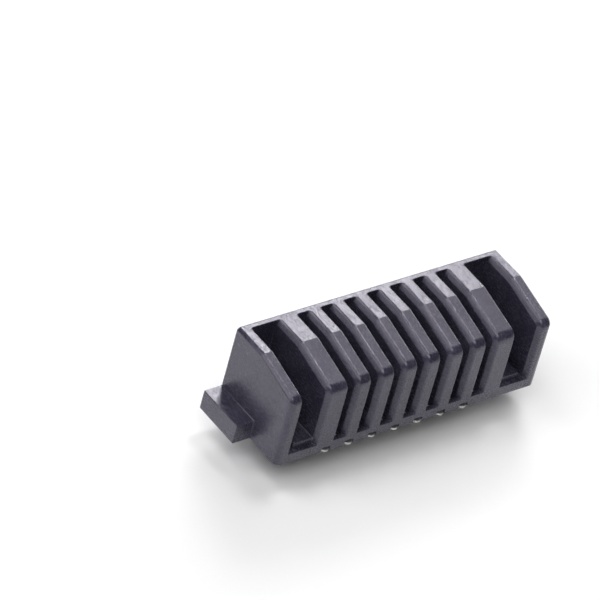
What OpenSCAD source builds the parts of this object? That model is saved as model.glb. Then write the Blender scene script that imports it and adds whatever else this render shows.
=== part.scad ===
// Battery connector socket for a circuit board: one moulded housing and seven stamped contacts.
// The origin is the middle of the body on the board plane. +Z is the mating side, and the
// battery's blades slide in from the open front at -Y. The two posts reach below the board plane.

/* [Contact row] */
// Distance from one blade slot to the next
pitch = 2.5; // [2.45:0.05:3.2]
// Width of a blade slot where it meets the outer surface
slot_mouth = 1.4; // [1.2:0.05:1.5]
// Width that each side of a slot gains in its lead-in
lead_in_width = 0.3; // [0.2:0.05:0.35]
// Depth of the lead-in below the outer surface
lead_in_depth = 0.5; // [0.3:0.05:0.6]
// Front width of the two outer ribs
end_rib_width = 1.75; // [1.7:0.05:3]
// Width of a guide slot where it meets the outer surface
guide_mouth = 3.1; // [2.9:0.1:4]

/* [Body] */
// Depth of the body from the open front to the back wall
body_depth = 8.8; // [8.5:0.05:9.5]
// Height of the flat crown above the board
crown_height = 8.5; // [8:0.1:11]
// Height where the slope would meet the front, before it is rounded
front_height = 7.2; // [6.7:0.05:7.9]
// How far the flat crown runs forward from the back
crown_run = 3.7; // [2:0.1:5]
// Radius of the bend between the slope and the front
bend_radius = 1.0; // [0.7:0.1:1.6]
// Radius of the upright front corners
corner_radius = 0.6; // [0.2:0.05:0.8]
// Width of the end walls at the outer surface
end_wall = 1.1; // [1.1:0.05:2]
// Chamfer along the outer top edge of the end walls
edge_chamfer = 0.25; // [0.05:0.05:0.3]
// Chamfer along the top edge of the back wall
back_chamfer = 0.08; // [0.04:0.02:0.2]
// Thickness of the back wall above the floor
back_wall = 0.55; // [0.4:0.05:0.6]
// Height of the strip that joins the ribs along the front
strip_height = 1.0; // [0.8:0.05:1.3]
// Thickness of that strip at its top
strip_lip = 0.5; // [0.3:0.05:0.6]
// Height of the ledge inside each guide slot
ledge_height = 1.6; // [1.4:0.1:3]
// Gap between the ledge and the end wall
ledge_gap = 0.45; // [0.2:0.05:1]
// How far the ledge stands back from the front
ledge_setback = 0.45; // [0.2:0.05:1]

/* [Underside] */
// Width of the rim at the two ends
end_rim = 0.45; // [0.3:0.05:0.6]
// Width of the rim along the front
front_rim = 0.8; // [0.7:0.05:0.85]
// Width of the rim along the back
back_rim = 0.65; // [0.6:0.05:0.75]
// Depth of the underside inside the rim
recess = 0.5; // [0.4:0.05:0.6]
// Thickness of the floor under the blade slots
floor_thickness = 0.9; // [0.9:0.05:1.5]
// Slit between the front strip and the floor of a blade slot
floor_slit = 0.25; // [0.15:0.05:0.4]
// Width of the core groove inside each end rim
core_width = 0.5; // [0.3:0.05:0.55]
// Height that the cores in the thick walls reach
core_height = 4.5; // [2.5:0.1:5.5]

/* [Ears and posts] */
// How far an ear stands out from the end wall
ear_length = 1.85; // [1:0.05:4]
// Depth of an ear along the end wall, from the back
ear_depth = 4.95; // [2:0.05:7]
// Height of an ear
ear_height = 1.95; // [1:0.05:4]
// Diameter of the locating posts
post_d = 2.5; // [1.6:0.1:2.6]
// Length of the posts below the board plane
post_length = 2.7; // [1.5:0.1:5]
// Chamfer round the tip of a post
post_chamfer = 0.4; // [0.1:0.05:0.5]
// Distance of each post from the end of the body
post_inset = 3.4; // [3.2:0.05:3.6]
// Offset of each post from the middle line, one to the back and one to the front
post_y = 1.05; // [0.9:0.05:1.2]

/* [Contacts] */
// Thickness of the contact metal
sheet = 0.22; // [0.16:0.01:0.26]
// Width of the flange along the foot of a contact
flange_width = 0.5; // [0.4:0.05:0.7]
// Sideways step halfway along a contact's upright
upright_step = 0.12; // [0.05:0.01:0.14]
// Height of the uprights above the board
upright_height = 2.0; // [1.9:0.1:2.4]
// Height of the spring leaves above the board
leaf_height = 4.7; // [4.4:0.1:5.2]
// How far a leaf's crest stands into the blade slot
leaf_crest = 0.25; // [0.05:0.05:0.3]
// Width of a front solder foot
front_foot_width = 0.8; // [0.5:0.05:0.9]
// Width of a rear solder foot
rear_foot_width = 1.1; // [0.7:0.05:1.2]
// How far the solder feet stand out past the body
foot_reach = 0.15; // [0:0.05:0.4]

/* [Hidden] */
contact_count = 7;
$fn = 64;
over = 1;
lap = 0.05;

// Row layout along X
half_row = (contact_count - 1) / 2 * pitch;
throat = slot_mouth - 2 * lead_in_width;
guide_throat = guide_mouth - 2 * lead_in_width;
end_rib_x = half_row + slot_mouth / 2 + end_rib_width;
guide_x = end_rib_x + guide_mouth / 2;
half_length = end_rib_x + guide_mouth + end_wall;
function slot_x(i) = (i - (contact_count + 1) / 2) * pitch;

// Side outline in Y and Z
front_y = -body_depth / 2;
back_y = body_depth / 2;
back_inner_y = back_y - back_wall;
crown_y = back_y - crown_run;
slope = atan2(crown_height - front_height, crown_y - front_y);
bend_reach = bend_radius * tan(45 - slope / 2);
bend_y = front_y + bend_radius;
bend_z = front_height - bend_reach;

// Underside
rim_inner_x = half_length - end_rim;
rim_front_y = front_y + front_rim;
rim_back_y = back_y - back_rim;
floor_top = recess + floor_thickness;
floor_front_y = rim_front_y + floor_slit;
rib_wall = 0.35;
rib_core = [1.4, 3.3];
mark_depth = 0.1;
mark_d = 1.6;
pad_size = 1.1;
dimple_d = 1.3;
post_x = half_length - post_inset;
mark_places = [[guide_x - 0.2, -1.0], [-guide_x + 0.75, 2.2]];
pad_place = [-post_x - 1.35, -post_y - 1.65];
ear_root = end_rim / 2;

// Contact cavities, placed from the middle of their blade slot
cavity_width = 1.4;
cavity_shelf = 0.55;
cavity_headroom = 0.5;
funnel_length = 1.2;
cavity_left = -throat / 2 - cavity_width;
cavity_front_y = rim_front_y + cavity_shelf;
cavity_back_y = rim_back_y - funnel_length;
cavity_top = leaf_height + cavity_headroom;
play = 0.05;

// Funnels and notches that let the solder feet out
funnel_roof = 0.2;
funnel_top = floor_top - funnel_roof;
funnel_narrow = 0.9;
funnel_wide = 2.4;
front_foot_x = cavity_left + play + front_foot_width / 2;
rear_foot_shift = 0.25;
rear_foot_x = cavity_left + rear_foot_shift;
foot_slack = 0.08;
front_notch_height = 0.4;
rear_notch_height = 0.8;

// Contact places, from the middle of the blade slot
upright_x = cavity_left + play + flange_width - sheet / 2;
upright_split_y = (cavity_front_y + cavity_back_y) / 2 - play;
upright_gap = 0.5;
upright_back_y = cavity_back_y - upright_gap;
shoulder_z = 1.4;
grip_height = 0.4;
leaf_gap = 0.95;
leaf_spread = (cavity_back_y - cavity_front_y) / 2;
leaf_width = leaf_spread - leaf_gap;
leaf_tip_run = 0.5;
bend_size = 0.25;
drop_run = 0.35;
neck_rise = 0.7;
arch_run = 0.35;
toe_run = 0.5;

// Extrudes a shape drawn in Y and Z along X, centred on X = 0
module along_x(width) {
    translate([-width / 2, 0, 0])
        rotate([90, 0, 90])
            linear_extrude(height = width)
                children();
}

// Extrudes a shape drawn in X and Z along Y, centred on Y = 0
module along_y(width) {
    translate([0, width / 2, 0])
        rotate([90, 0, 0])
            linear_extrude(height = width)
                children();
}

// Block between two opposite corners
module block(low, high) {
    translate(low)
        cube(high - low);
}

// Side outline of the body: flat crown, slope, rounded bend and upright front
module side_outline() {
    difference() {
        polygon([
            [front_y, 0],
            [front_y, front_height],
            [crown_y, crown_height],
            [back_y - back_chamfer, crown_height],
            [back_y, crown_height - back_chamfer],
            [back_y, 0]
        ]);
        difference() {
            polygon([
                [front_y - over, bend_z],
                [bend_y, bend_z],
                [bend_y - (bend_radius + over) * sin(slope), bend_z + (bend_radius + over) * cos(slope)],
                [front_y - over, front_height + over]
            ]);
            translate([bend_y, bend_z])
                circle(r = bend_radius);
        }
    }
}

// Plan outline of the body with rounded front corners
module plan_outline() {
    inner_x = half_length - corner_radius;
    translate([-half_length, front_y + corner_radius])
        square([2 * half_length, body_depth - corner_radius]);
    translate([-inner_x, front_y])
        square([2 * inner_x, 2 * corner_radius]);
    for (side = [-1, 1])
        translate([side * inner_x, front_y + corner_radius])
            circle(r = corner_radius);
}

// Sweeps a section from a start on the crown forward over the slope, round the bend and down
// the front to a bottom. The section is drawn across X, with the outer surface at y = 0.
module over_the_front(start, bottom) {
    slope_length = (crown_y - front_y) / cos(slope) - bend_reach;
    mitre = lead_in_depth;
    translate([0, start, crown_height])
        rotate([90, 0, 0])
            linear_extrude(height = start - crown_y + mitre)
                children();
    translate([0, crown_y, crown_height])
        rotate([90 + slope, 0, 0])
            translate([0, 0, -mitre])
                linear_extrude(height = mitre + slope_length + lap)
                    children();
    translate([0, bend_y, bend_z])
        rotate([0, 90, 0])
            rotate([0, 0, 180 + slope])
                rotate_extrude(angle = 90 - slope)
                    translate([bend_radius, 0])
                        mirror([1, -1])
                            children();
    translate([0, front_y, bend_z + lap])
        rotate([180, 0, 0])
            linear_extrude(height = bend_z + lap - bottom)
                children();
}

// Section of a slot's lead-in, whose sides run on past the outer surface
module lead_in_section(mouth) {
    inner = mouth / 2 - lead_in_width;
    outer = mouth / 2 + over * lead_in_width / lead_in_depth;
    polygon([
        [-inner, -lead_in_depth],
        [inner, -lead_in_depth],
        [outer, over],
        [-outer, over]
    ]);
}

// Section of the chamfer on the outer edge of the end wall at +X
module edge_section() {
    polygon([
        [half_length - 2 * edge_chamfer, edge_chamfer],
        [half_length + edge_chamfer, -2 * edge_chamfer],
        [half_length + edge_chamfer, edge_chamfer]
    ]);
}

// Side view of a blade slot: over the front strip, down the slit and back along the floor
module slot_void() {
    polygon([
        [front_y - over, strip_height],
        [front_y + strip_lip, strip_height],
        [rim_front_y, recess / 2],
        [floor_front_y, recess / 2],
        [floor_front_y, floor_top],
        [back_inner_y, floor_top],
        [back_inner_y, crown_height + over],
        [front_y - over, crown_height + over]
    ]);
}

module blade_slot() {
    along_x(throat) slot_void();
    over_the_front(back_inner_y, strip_height) lead_in_section(slot_mouth);
}

// Guide slot at +X, with the ledge that stays on the outer rib
module guide_slot() {
    ledge_x = guide_throat / 2 - ledge_gap;
    block(
        [-guide_throat / 2, front_y - over, ledge_height],
        [guide_throat / 2, back_inner_y, crown_height + over]
    );
    block(
        [ledge_x, front_y - over, strip_height],
        [guide_throat / 2, back_inner_y, ledge_height + over]
    );
    block(
        [-guide_throat / 2, front_y - over, strip_height],
        [guide_throat / 2, front_y + ledge_setback, ledge_height + over]
    );
    over_the_front(back_inner_y, strip_height) lead_in_section(guide_mouth);
}

// Room for one contact beside its slot, with the ways out for its two solder feet
module contact_room() {
    block([cavity_left, cavity_front_y, 0], [-throat / 2, cavity_back_y, floor_top + play]);
    block([cavity_left, cavity_front_y, floor_top], [0, cavity_back_y, cavity_top]);
    linear_extrude(height = funnel_top)
        polygon([
            [cavity_left + play, cavity_back_y - over],
            [cavity_left + play + funnel_narrow, cavity_back_y - over],
            [cavity_left + play + funnel_narrow, cavity_back_y],
            [rear_foot_x + funnel_wide / 2, rim_back_y],
            [rear_foot_x - funnel_wide / 2, rim_back_y],
            [cavity_left + play, cavity_back_y]
        ]);
    block(
        [rear_foot_x - rear_foot_width / 2 - foot_slack, rim_back_y - over, -over],
        [rear_foot_x + rear_foot_width / 2 + foot_slack, back_y + over, rear_notch_height]
    );
    block(
        [front_foot_x - front_foot_width / 2 - foot_slack, front_y - over, -over],
        [front_foot_x + front_foot_width / 2 + foot_slack, rim_front_y + over / 4, front_notch_height]
    );
}

// Everything that is cut from the board side
module underside() {
    block([-rim_inner_x, rim_front_y, -over], [rim_inner_x, rim_back_y, recess]);
    for (side = [-1, 1])
        translate([side * (rim_inner_x - core_width / 2), 0])
            block(
                [-core_width / 2, rim_front_y, 0],
                [core_width / 2, rim_back_y, core_height]
            );
    translate([half_row + throat / 2 + rib_wall, cavity_front_y])
        cube([rib_core.x, rib_core.y, core_height]);
    for (place = mark_places)
        translate(place)
            cylinder(d = mark_d, h = recess + mark_depth);
    translate([pad_place.x - pad_size / 2, pad_place.y - pad_size / 2])
        cube([pad_size, pad_size, recess + 2 * mark_depth]);
}

// Locating post with a chamfered tip and a shallow dimple
module post() {
    difference() {
        union() {
            translate([0, 0, post_chamfer - post_length])
                cylinder(d = post_d, h = post_length - post_chamfer + recess + mark_depth);
            translate([0, 0, -post_length])
                cylinder(d1 = post_d - 2 * post_chamfer, d2 = post_d, h = post_chamfer);
        }
        translate([0, 0, -post_length - over])
            cylinder(d = dimple_d, h = over + mark_depth);
    }
}

module ears() {
    middle_x = half_length + (ear_length - ear_root) / 2;
    for (side = [-1, 1])
        translate([side * middle_x, back_y - ear_depth / 2, ear_height / 2])
            cube([ear_length + ear_root, ear_depth, ear_height], center = true);
}

module housing() {
    color("#26272b") {
        difference() {
            union() {
                intersection() {
                    along_x(2 * half_length) side_outline();
                    linear_extrude(height = crown_height) plan_outline();
                }
                ears();
            }
            for (i = [1:contact_count])
                translate([slot_x(i), 0]) {
                    blade_slot();
                    contact_room();
                }
            for (side = [0, 1])
                mirror([side, 0, 0]) {
                    translate([guide_x, 0]) guide_slot();
                    over_the_front(back_y + over, bend_z - edge_chamfer) edge_section();
                }
            underside();
        }
        translate([post_x, post_y]) post();
        translate([-post_x, -post_y]) post();
    }
}

// Path whose inner corners are eased into short curves
function eased(path) = [
    path[0],
    for (i = [1:len(path) - 2])
        let (
            corner = path[i],
            start = corner + bend_size * (path[i - 1] - corner) / norm(path[i - 1] - corner),
            end = corner + bend_size * (path[i + 1] - corner) / norm(path[i + 1] - corner)
        )
        for (u = [0:0.25:1])
            (1 - u) * (1 - u) * start + 2 * u * (1 - u) * corner + u * u * end,
    path[len(path) - 1]
];

// Edge view of bent sheet metal that follows a path along its middle
module bent_sheet(path) {
    last = len(path) - 1;
    steps = [for (i = [0:last - 1]) (path[i + 1] - path[i]) / norm(path[i + 1] - path[i])];
    normals = [for (step = steps) [-step.y, step.x]];
    sides = [
        for (i = [0:last])
            i == 0 ? normals[0]
            : i == last ? normals[last - 1]
            : (normals[i - 1] + normals[i]) / (1 + normals[i - 1] * normals[i])
    ];
    polygon(concat(
        [for (i = [0:last]) path[i] + sides[i] * sheet / 2],
        [for (i = [last:-1:0]) path[i] - sides[i] * sheet / 2]
    ));
}

// Flange and stepped upright, whose grips meet both ends of the cavity
module base_strip() {
    low_x = cavity_left + play;
    low_y = cavity_front_y + play;
    halves = [
        [0, upright_split_y, cavity_back_y],
        [upright_step, cavity_front_y, upright_split_y + sheet]
    ];
    for (part = halves)
        translate([upright_x - sheet / 2 + part[0], 0]) {
            block(
                [0, max(part[1], low_y), recess],
                [sheet, min(part[2], upright_back_y), upright_height]
            );
            block(
                [0, max(part[1], low_y), shoulder_z],
                [sheet, min(part[2], cavity_back_y - play), upright_height]
            );
            block(
                [0, part[1], upright_height - grip_height],
                [sheet, part[2], upright_height]
            );
        }
    block(
        [low_x, low_y + bend_size, recess],
        [low_x + flange_width + upright_step / 2, upright_back_y, recess + sheet]
    );
}

// Spring leaf that leans out of the cavity to its crest in the blade slot
module leaf(step) {
    crest_x = -throat / 2 + leaf_crest - sheet / 2;
    root_z = upright_height - sheet;
    crest_z = upright_height + 0.7 * (leaf_height - upright_height);
    along_y(leaf_width)
        bent_sheet(eased([
            [upright_x + step, root_z],
            [upright_x + step, upright_height + bend_size],
            [crest_x, crest_z],
            [crest_x - leaf_tip_run, leaf_height]
        ]));
}

// Front solder foot, rounded at its outer end
module front_foot() {
    outer_y = front_y - foot_reach;
    drop_y = cavity_front_y + play + sheet / 2;
    intersection() {
        along_x(front_foot_width)
            bent_sheet([
                [drop_y + 2 * drop_run, recess + sheet / 2],
                [drop_y + drop_run, recess + sheet / 2],
                [drop_y, sheet / 2],
                [outer_y, sheet / 2]
            ]);
        linear_extrude(height = upright_height) {
            translate([0, outer_y + front_foot_width / 2])
                circle(d = front_foot_width);
            translate([-front_foot_width / 2, outer_y + front_foot_width / 2])
                square([front_foot_width, drop_y + 2 * drop_run - outer_y]);
        }
    }
}

// Rear solder foot: an arched neck, then a tongue that slopes out to the board
module rear_foot() {
    outer_y = back_y + foot_reach;
    arch_z = funnel_top - sheet - play;
    arch_y = upright_back_y + neck_rise;
    tongue_y = arch_y + play + rear_foot_width / 2;
    path = [
        [upright_back_y - neck_rise, recess + sheet / 2],
        [upright_back_y, recess + sheet / 2],
        [arch_y, arch_z],
        [arch_y + arch_run, arch_z],
        [outer_y - toe_run, sheet / 2],
        [outer_y, sheet / 2]
    ];
    neck_x = cavity_left + play - rear_foot_x;
    intersection() {
        along_x(2 * rear_foot_width) bent_sheet(path);
        linear_extrude(height = upright_height) {
            translate([neck_x, upright_back_y - neck_rise])
                square([flange_width, tongue_y - upright_back_y + neck_rise]);
            translate([0, tongue_y])
                circle(d = rear_foot_width);
            translate([-rear_foot_width / 2, tongue_y])
                square([rear_foot_width, outer_y - tongue_y]);
        }
    }
}

module contact(i) {
    color("#c8b684")
        translate([slot_x(i), 0]) {
            base_strip();
            for (k = [0, 1])
                translate([0, cavity_back_y - leaf_spread * (k + 0.5)]) leaf(k * upright_step);
            translate([front_foot_x, 0]) front_foot();
            translate([rear_foot_x, 0]) rear_foot();
        }
}

housing();
for (i = [1:contact_count])
    contact(i);
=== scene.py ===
import bpy
from math import cos, radians, sin
from mathutils import Matrix, Vector


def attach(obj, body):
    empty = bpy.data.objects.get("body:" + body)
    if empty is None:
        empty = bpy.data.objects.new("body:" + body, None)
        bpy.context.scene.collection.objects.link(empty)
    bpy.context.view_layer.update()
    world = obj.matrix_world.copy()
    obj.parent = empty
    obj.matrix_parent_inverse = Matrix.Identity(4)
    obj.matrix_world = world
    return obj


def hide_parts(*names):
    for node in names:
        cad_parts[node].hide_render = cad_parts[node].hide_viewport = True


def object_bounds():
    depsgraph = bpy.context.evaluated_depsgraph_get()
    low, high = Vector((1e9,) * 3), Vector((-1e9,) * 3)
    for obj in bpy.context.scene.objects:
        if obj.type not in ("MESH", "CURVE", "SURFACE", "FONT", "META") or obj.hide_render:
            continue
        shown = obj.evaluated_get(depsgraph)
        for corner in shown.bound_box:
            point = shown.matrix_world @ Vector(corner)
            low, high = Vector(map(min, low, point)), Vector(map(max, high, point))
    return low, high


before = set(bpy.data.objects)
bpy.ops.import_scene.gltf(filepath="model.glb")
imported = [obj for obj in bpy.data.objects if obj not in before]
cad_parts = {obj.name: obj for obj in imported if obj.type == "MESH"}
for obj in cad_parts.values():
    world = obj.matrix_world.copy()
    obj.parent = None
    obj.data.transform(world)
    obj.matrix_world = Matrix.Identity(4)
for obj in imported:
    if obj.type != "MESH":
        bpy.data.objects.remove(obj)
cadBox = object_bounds()
mm = 0.001
print("frame loaded:", sorted(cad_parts))


class Wire:
    # a shader socket that can be added, multiplied and so on like a number
    def __init__(self, paint, socket):
        self.paint = paint
        self.socket = socket

    def combine(self, operation, left, right):
        return self.paint.node("ShaderNodeMath", {"operation": operation}, {0: left, 1: right})

    def __add__(self, other):
        return self.combine("ADD", self, other)

    def __radd__(self, other):
        return self.combine("ADD", other, self)

    def __sub__(self, other):
        return self.combine("SUBTRACT", self, other)

    def __rsub__(self, other):
        return self.combine("SUBTRACT", other, self)

    def __mul__(self, other):
        return self.combine("MULTIPLY", self, other)

    def __rmul__(self, other):
        return self.combine("MULTIPLY", other, self)

    def stepped(self, low, high):
        # 0 below low, 1 above high, with a soft step between
        return self.paint.node(
            "ShaderNodeMapRange",
            {"interpolation_type": "SMOOTHSTEP"},
            {"Value": self, "From Min": low, "From Max": high, "To Min": 0.0, "To Max": 1.0},
        )


class Paint:
    # one material, built from nodes
    def __init__(self, name):
        self.material = bpy.data.materials.new(name)
        self.material.use_nodes = True
        self.tree = self.material.node_tree
        self.shader = self.tree.nodes["Principled BSDF"]
        self.place = self.node("ShaderNodeTexCoord", out="Object")

    def node(self, kind, settings=None, sockets=None, out=0):
        made = self.tree.nodes.new(kind)
        for key, value in (settings or {}).items():
            setattr(made, key, value)
        for key, value in (sockets or {}).items():
            self.feed(made.inputs[key], value)
        return Wire(self, made.outputs[out])

    def feed(self, socket, value):
        if isinstance(value, Wire):
            self.tree.links.new(value.socket, socket)
        else:
            socket.default_value = value

    def finish(self, **sockets):
        for key, value in sockets.items():
            self.feed(self.shader.inputs[key.replace("_", " ")], value)

    def blend(self, factor, first, second):
        return self.node(
            "ShaderNodeMix", {"data_type": "RGBA"}, {0: factor, 6: first, 7: second}, out=2
        )

    def stretched(self, scale):
        return self.node("ShaderNodeMapping", None, {"Vector": self.place, "Scale": scale})

    def noise(self, size, detail, rough=0.5, place=None):
        # values round 0.5, with blotches about as wide as size, in metres
        return self.node(
            "ShaderNodeTexNoise",
            None,
            {
                "Vector": place or self.place,
                "Scale": 1 / size,
                "Detail": detail,
                "Roughness": rough,
            },
        )

    def distance(self, axis):
        # how far a point lies from the middle of the object, either way along one axis
        along = self.node("ShaderNodeSeparateXYZ", None, {"Vector": self.place}, out=axis)
        return self.node("ShaderNodeMath", {"operation": "ABSOLUTE"}, {0: along})

    def bump(self, height, depth):
        return self.node("ShaderNodeBump", None, {"Height": height, "Distance": depth})


# moulded plastic: near black, filled with short glass fibres
plastic = {
    "name": "fibreFilledPlastic",
    "colour": (0.0265, 0.0250, 0.0405, 1),
    "paleColour": (0.055, 0.052, 0.078, 1),
    "fibreColour": (0.17, 0.165, 0.20, 1),
    "sheenTint": (0.92, 0.88, 1.0, 1),
    "grain": 0.14 * mm,
    "fibre": 0.112 * mm,
    "streak": 0.17 * mm,
    "blotch": 1.6 * mm,
    "fibreStretch": (1.0, 0.35, 1.0),  # fibres and streaks run from front to back
    "fibreRange": (0.66, 0.76),
    "streakRange": (0.35, 0.65),
    "cloudRange": (0.35, 0.70),
    "palerBy": {"grain": 0.3, "cloud": 0.5, "fibre": 0.5},
    "roughness": 0.25,
    "rougherBy": {"grain": 0.30, "streak": 0.20, "cloud": 0.08},
    "fibreHeight": 0.4,  # against 1 for the grain
    "grainDepth": 0.013 * mm,
    "ior": 1.66,
}
middle = 0.5  # of a noise, so that it adds as much as it takes off


def makePlastic():
    p = Paint(plastic["name"])
    paler, rougher = plastic["palerBy"], plastic["rougherBy"]
    lengthwise = p.stretched(plastic["fibreStretch"])
    grain = p.noise(plastic["grain"], detail=3.0, rough=0.65)
    fibre = p.noise(plastic["fibre"], detail=1.0, place=lengthwise)
    fibre = fibre.stepped(*plastic["fibreRange"])
    streak = p.noise(plastic["streak"], detail=2.0, place=lengthwise)
    streak = streak.stepped(*plastic["streakRange"])
    cloud = p.noise(plastic["blotch"], detail=4.0, rough=0.6).stepped(*plastic["cloudRange"])
    paleness = cloud * paler["cloud"] + grain * paler["grain"]
    colour = p.blend(paleness, plastic["colour"], plastic["paleColour"])
    colour = p.blend(fibre * paler["fibre"], colour, plastic["fibreColour"])
    rough = plastic["roughness"] + (grain - middle) * rougher["grain"]
    rough = rough + (streak - middle) * rougher["streak"] + (cloud - middle) * rougher["cloud"]
    height = grain + fibre * plastic["fibreHeight"]
    p.finish(
        Base_Color=colour,
        Roughness=rough,
        Normal=p.bump(height, plastic["grainDepth"]),
        IOR=plastic["ior"],
        Specular_Tint=plastic["sheenTint"],
    )
    return p.material


# contact strip: gold-plated spring, tinned at the solder feet
metal = {
    "name": "platedStrip",
    "gold": (0.80, 0.62, 0.30, 1),
    "nickel": (0.66, 0.63, 0.56, 1),
    "tin": (0.62, 0.62, 0.61, 1),
    "rollMark": 0.05 * mm,
    "rollStretch": (1.0, 0.08, 1.0),
    "markDepth": 0.004 * mm,
    "tarnish": 0.6 * mm,
    "tarnishRange": (0.4, 0.7),
    "tarnishShare": 0.7,
    "tinRange": (2.6 * mm, 3.0 * mm),  # from the middle line to the front or the back
    "roughness": 0.26,
    "rougherBy": {"tin": 0.18, "mark": 0.12},
}


def makeMetal():
    p = Paint(metal["name"])
    tinned = p.distance("Y").stepped(*metal["tinRange"])
    marks = p.noise(metal["rollMark"], detail=2.0, place=p.stretched(metal["rollStretch"]))
    tarnish = p.noise(metal["tarnish"], detail=3.0).stepped(*metal["tarnishRange"])
    warm = p.blend(tarnish * metal["tarnishShare"], metal["gold"], metal["nickel"])
    rougher = metal["rougherBy"]
    p.finish(
        Base_Color=p.blend(tinned, warm, metal["tin"]),
        Metallic=1.0,
        Roughness=metal["roughness"] + tinned * rougher["tin"] + marks * rougher["mark"],
        Normal=p.bump(marks, metal["markDepth"]),
    )
    return p.material


def edgeNormals(mesh):
    # each edge with the normals of the faces that meet at it
    normals = {}
    for face in mesh.polygons:
        for key in face.edge_keys:
            normals.setdefault(key, []).append(face.normal)
    return [(edge, normals.get(edge.key, [])) for edge in mesh.edges]


def isLeadIn(style, ends, pair):
    # an edge between a lead-in, which leans towards X, and a face of the crown, slope or front
    level, tilted = sorted(abs(normal.x) for normal in pair)
    low, high = style["leadInTilt"]
    above = all(p.z > style["leadInAbove"] for p in ends)
    return above and level < style["leadInLevel"] and low < tilted < high


def roundingShare(style, ends, pair):
    # the part of a piece's full rounding that one edge gets
    if "otherShare" not in style or isLeadIn(style, ends, pair):
        return 1.0
    if pair[0].angle(pair[1], 0) < style["slightTurn"]:
        return style["slightShare"]
    if all(p.z < style["lowUnder"] for p in ends):
        return style["lowShare"]
    return style["otherShare"]


def weighEdges(mesh, style):
    weights = mesh.attributes.new("bevel_weight_edge", "FLOAT", "EDGE")
    for edge, pair in edgeNormals(mesh):
        if len(pair) == 2 and pair[0].angle(pair[1], 0) >= style["roundFrom"]:
            ends = [mesh.vertices[i].co for i in edge.vertices]
            weights.data[edge.index].value = roundingShare(style, ends, pair)


def markKinks(mesh, style):
    # the line where the crown tips into the slope stays crisp, over flats and rounded edges alike
    least, most = style["kinkTurn"]
    for edge, pair in edgeNormals(mesh):
        ends = [mesh.vertices[i].co for i in edge.vertices]
        near = all(abs(p.y - style["kinkY"]) < style["kinkReach"] for p in ends)
        high = all(p.z > style["kinkAbove"] for p in ends)
        if near and high and len(pair) == 2:
            edge.use_edge_sharp = least < pair[0].angle(pair[1], 0) < most


# how a copy of a CAD node is cleaned and shaded
cleaning = {
    "mergeWithin": 0.006 * mm,
    "flatWithin": radians(0.5),
    "smoothUnder": radians(50),
}


def rounded(node, name, style):
    # a copy of a CAD node, merged and given its softly rounded edges
    bpy.ops.object.select_all(action="DESELECT")
    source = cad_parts[node]
    piece = source.copy()
    piece.data = source.data.copy()
    piece.name = piece.data.name = name
    for key in list(piece.keys()):
        del piece[key]  # what marks the CAD node doesn't go with its copy
    piece.parent = None
    bpy.context.scene.collection.objects.link(piece)
    bpy.context.view_layer.objects.active = piece
    piece.select_set(True)
    bpy.ops.object.mode_set(mode="EDIT")
    bpy.ops.mesh.select_all(action="SELECT")
    bpy.ops.mesh.remove_doubles(threshold=cleaning["mergeWithin"])
    bpy.ops.mesh.dissolve_limited(angle_limit=cleaning["flatWithin"])
    bpy.ops.mesh.select_all(action="DESELECT")
    bpy.ops.object.mode_set(mode="OBJECT")
    weighEdges(piece.data, style)
    bevel = piece.modifiers.new("softEdges", "BEVEL")
    bevel.width = style["edge"]
    bevel.segments = style["segments"]
    bevel.limit_method = "WEIGHT"
    bevel.use_clamp_overlap = False
    bevel.miter_outer = "MITER_ARC"
    bpy.ops.object.modifier_apply(modifier=bevel.name)
    if "kinkY" in style:
        markKinks(piece.data, style)
    bpy.ops.object.shade_smooth_by_angle(angle=cleaning["smoothUnder"])
    flat = piece.modifiers.new("flatFaces", "WEIGHTED_NORMAL")
    flat.keep_sharp = True
    bpy.ops.object.modifier_apply(modifier=flat.name)
    return piece


def dress(piece, material, node):
    piece.data.materials.clear()
    piece.data.materials.append(material)
    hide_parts(node)
    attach(piece, "root")


housing = {
    "edge": 0.175 * mm,  # full rounding, on the lead-ins of the slots
    "segments": 3,
    "roundFrom": radians(28),  # edges that turn less stay as they are
    "leadInTilt": (0.8, 0.9),  # x of a lead-in's normal
    "leadInLevel": 0.02,  # most x of the normal of the face beside it
    "leadInAbove": 5 * mm,
    "slightTurn": radians(40),  # edges that turn less than this get the slight share
    "slightShare": 0.24,
    "lowUnder": 1.5 * mm,
    "lowShare": 0.22,
    "otherShare": 0.44,
    "kinkY": 0.7 * mm,  # where the crown ends
    "kinkReach": 0.12 * mm,
    "kinkAbove": 7 * mm,
    "kinkTurn": (radians(6), radians(20)),
}
contact = {
    "edge": 0.025 * mm,
    "segments": 1,
    "roundFrom": radians(32),
}

shell = rounded("housing", "mouldedHousing", housing)
dress(shell, makePlastic(), "housing")
print("housing ready:", len(shell.data.polygons), "faces")

metalMaterial = makeMetal()
for node in sorted(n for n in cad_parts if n.startswith("contact")):
    strip = rounded(node, node.replace("contact", "springContact"), contact)
    dress(strip, metalMaterial, node)
print("contacts ready")

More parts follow.
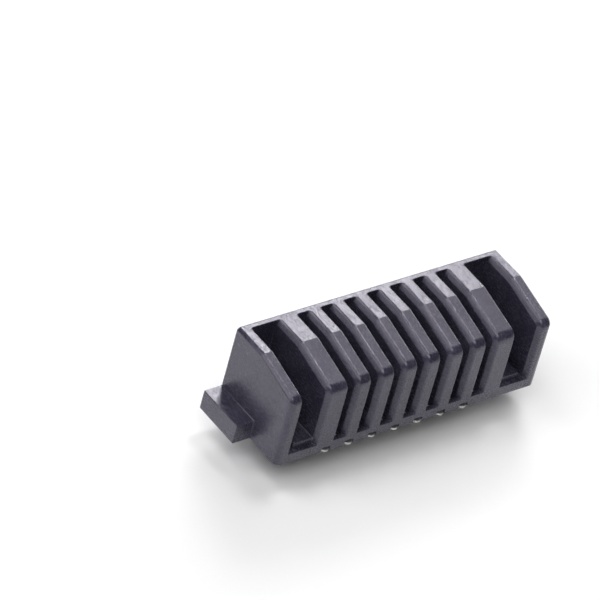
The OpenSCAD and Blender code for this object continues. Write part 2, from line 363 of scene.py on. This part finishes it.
# floor under the tips of the posts, a pale backdrop and soft light round it, in metres
studio = {
    "floorHalf": 7.0,
    "floorColour": (0.86, 0.86, 0.865, 1),
    "floorRoughness": 0.85,
    "backdropRadius": 1.1,
    "backdropRings": 24,
    "backdropColour": (1.0, 1.0, 1.0, 1),
    "worldColour": (0.93, 0.94, 0.96, 1),
    "worldStrength": 0.03,
}
softboxes = {
    # name: (azimuth it stands at, elevation, distance, width, height, power), in degrees,
    # metres and watts
    "backBox": (142, 38, 0.5, 0.175, 0.15, 0.84),
    "backLow": (118, 12, 2.4, 1.20, 0.72, 15.5),
    "sideTop": (108, 54, 2.4, 1.20, 1.20, 6.3),
    "topBox": (120, 75, 2.4, 0.52, 0.52, 13.0),
    "edgeBox": (-134, 64, 2.4, 0.80, 0.60, 9.0),
    "leftBox": (-108, 36, 2.4, 1.80, 1.80, 20.5),
    "cameraBox": (-45, 58, 2.4, 1.80, 1.50, 27.0),
}


def makeFloor():
    bpy.ops.object.select_all(action="DESELECT")
    bpy.ops.mesh.primitive_plane_add(size=2 * studio["floorHalf"], location=(0, 0, cadBox[0].z))
    floor = bpy.context.active_object
    floor.name = "paleFloor"
    bpy.ops.object.transform_apply(location=True, rotation=False, scale=False)
    p = Paint("paleFloorPaper")
    p.finish(Base_Color=studio["floorColour"], Roughness=studio["floorRoughness"])
    floor.data.materials.append(p.material)


def makeBackdrop():
    # a dome round the object, where the floor ends: only the camera sees it, and it lights nothing
    bpy.ops.object.select_all(action="DESELECT")
    bpy.ops.mesh.primitive_uv_sphere_add(
        segments=2 * studio["backdropRings"],
        ring_count=studio["backdropRings"],
        radius=studio["backdropRadius"],
    )
    backdrop = bpy.context.active_object
    backdrop.name = "paleBackdrop"
    backdrop.visible_diffuse = False
    backdrop.visible_glossy = False
    backdrop.visible_shadow = False
    p = Paint("paleBackdropPaper")
    p.finish(
        Base_Color=(0, 0, 0, 1),
        Specular_IOR_Level=0.0,
        Emission_Color=studio["backdropColour"],
        Emission_Strength=1.0,
    )
    backdrop.data.materials.append(p.material)


def direction(azimuth, elevation):
    # towards something that stands at this azimuth, with 0 at -Y and 90 at +X
    a, e = radians(azimuth), radians(elevation)
    return Vector((sin(a) * cos(e), -cos(a) * cos(e), sin(e)))


def makeLights():
    for name, (azimuth, elevation, distance, width, height, power) in softboxes.items():
        bpy.ops.object.light_add(type="AREA")
        box = bpy.context.active_object
        box.name = name
        box.data.shape = "RECTANGLE"
        box.data.size, box.data.size_y = width, height
        box.data.energy = power
        towards = direction(azimuth, elevation)
        box.location = towards * distance
        box.rotation_euler = towards.to_track_quat("Z", "Y").to_euler()
        box.visible_camera = False


def makeWorld():
    world = bpy.data.worlds.new("paleStudio")
    world.use_nodes = True
    background = world.node_tree.nodes["Background"]
    background.inputs["Color"].default_value = studio["worldColour"]
    background.inputs["Strength"].default_value = studio["worldStrength"]
    bpy.context.scene.world = world


# camera at the photo's viewing angle
view = {
    "aim": (-3.688 * mm, 8.377 * mm, 5.000 * mm),
    "azimuth": -45.609,
    "elevation": 38.491,
    "roll": 15.713,
    "distance": 547.015 * mm,
    "lens": 381.24,
    "sensor": 36.0,
    "clip": (0.01, 20),
}


def makeCamera():
    back = direction(view["azimuth"], view["elevation"])
    bpy.ops.object.camera_add()
    camera = bpy.context.active_object
    camera.name = "photoView"
    camera.data.lens = view["lens"]
    camera.data.sensor_width = view["sensor"]
    camera.data.clip_start, camera.data.clip_end = view["clip"]
    turn = back.to_track_quat("Z", "Y").to_matrix().to_4x4()
    roll = Matrix.Rotation(radians(view["roll"]), 4, "Z")
    place = Matrix.Translation(Vector(view["aim"]) + back * view["distance"])
    camera.matrix_world = place @ turn @ roll
    bpy.context.scene.camera = camera


makeFloor()
makeBackdrop()
makeLights()
makeWorld()
makeCamera()
bpy.context.scene.view_settings.view_transform = "Standard"
print("stage, lights and camera ready")
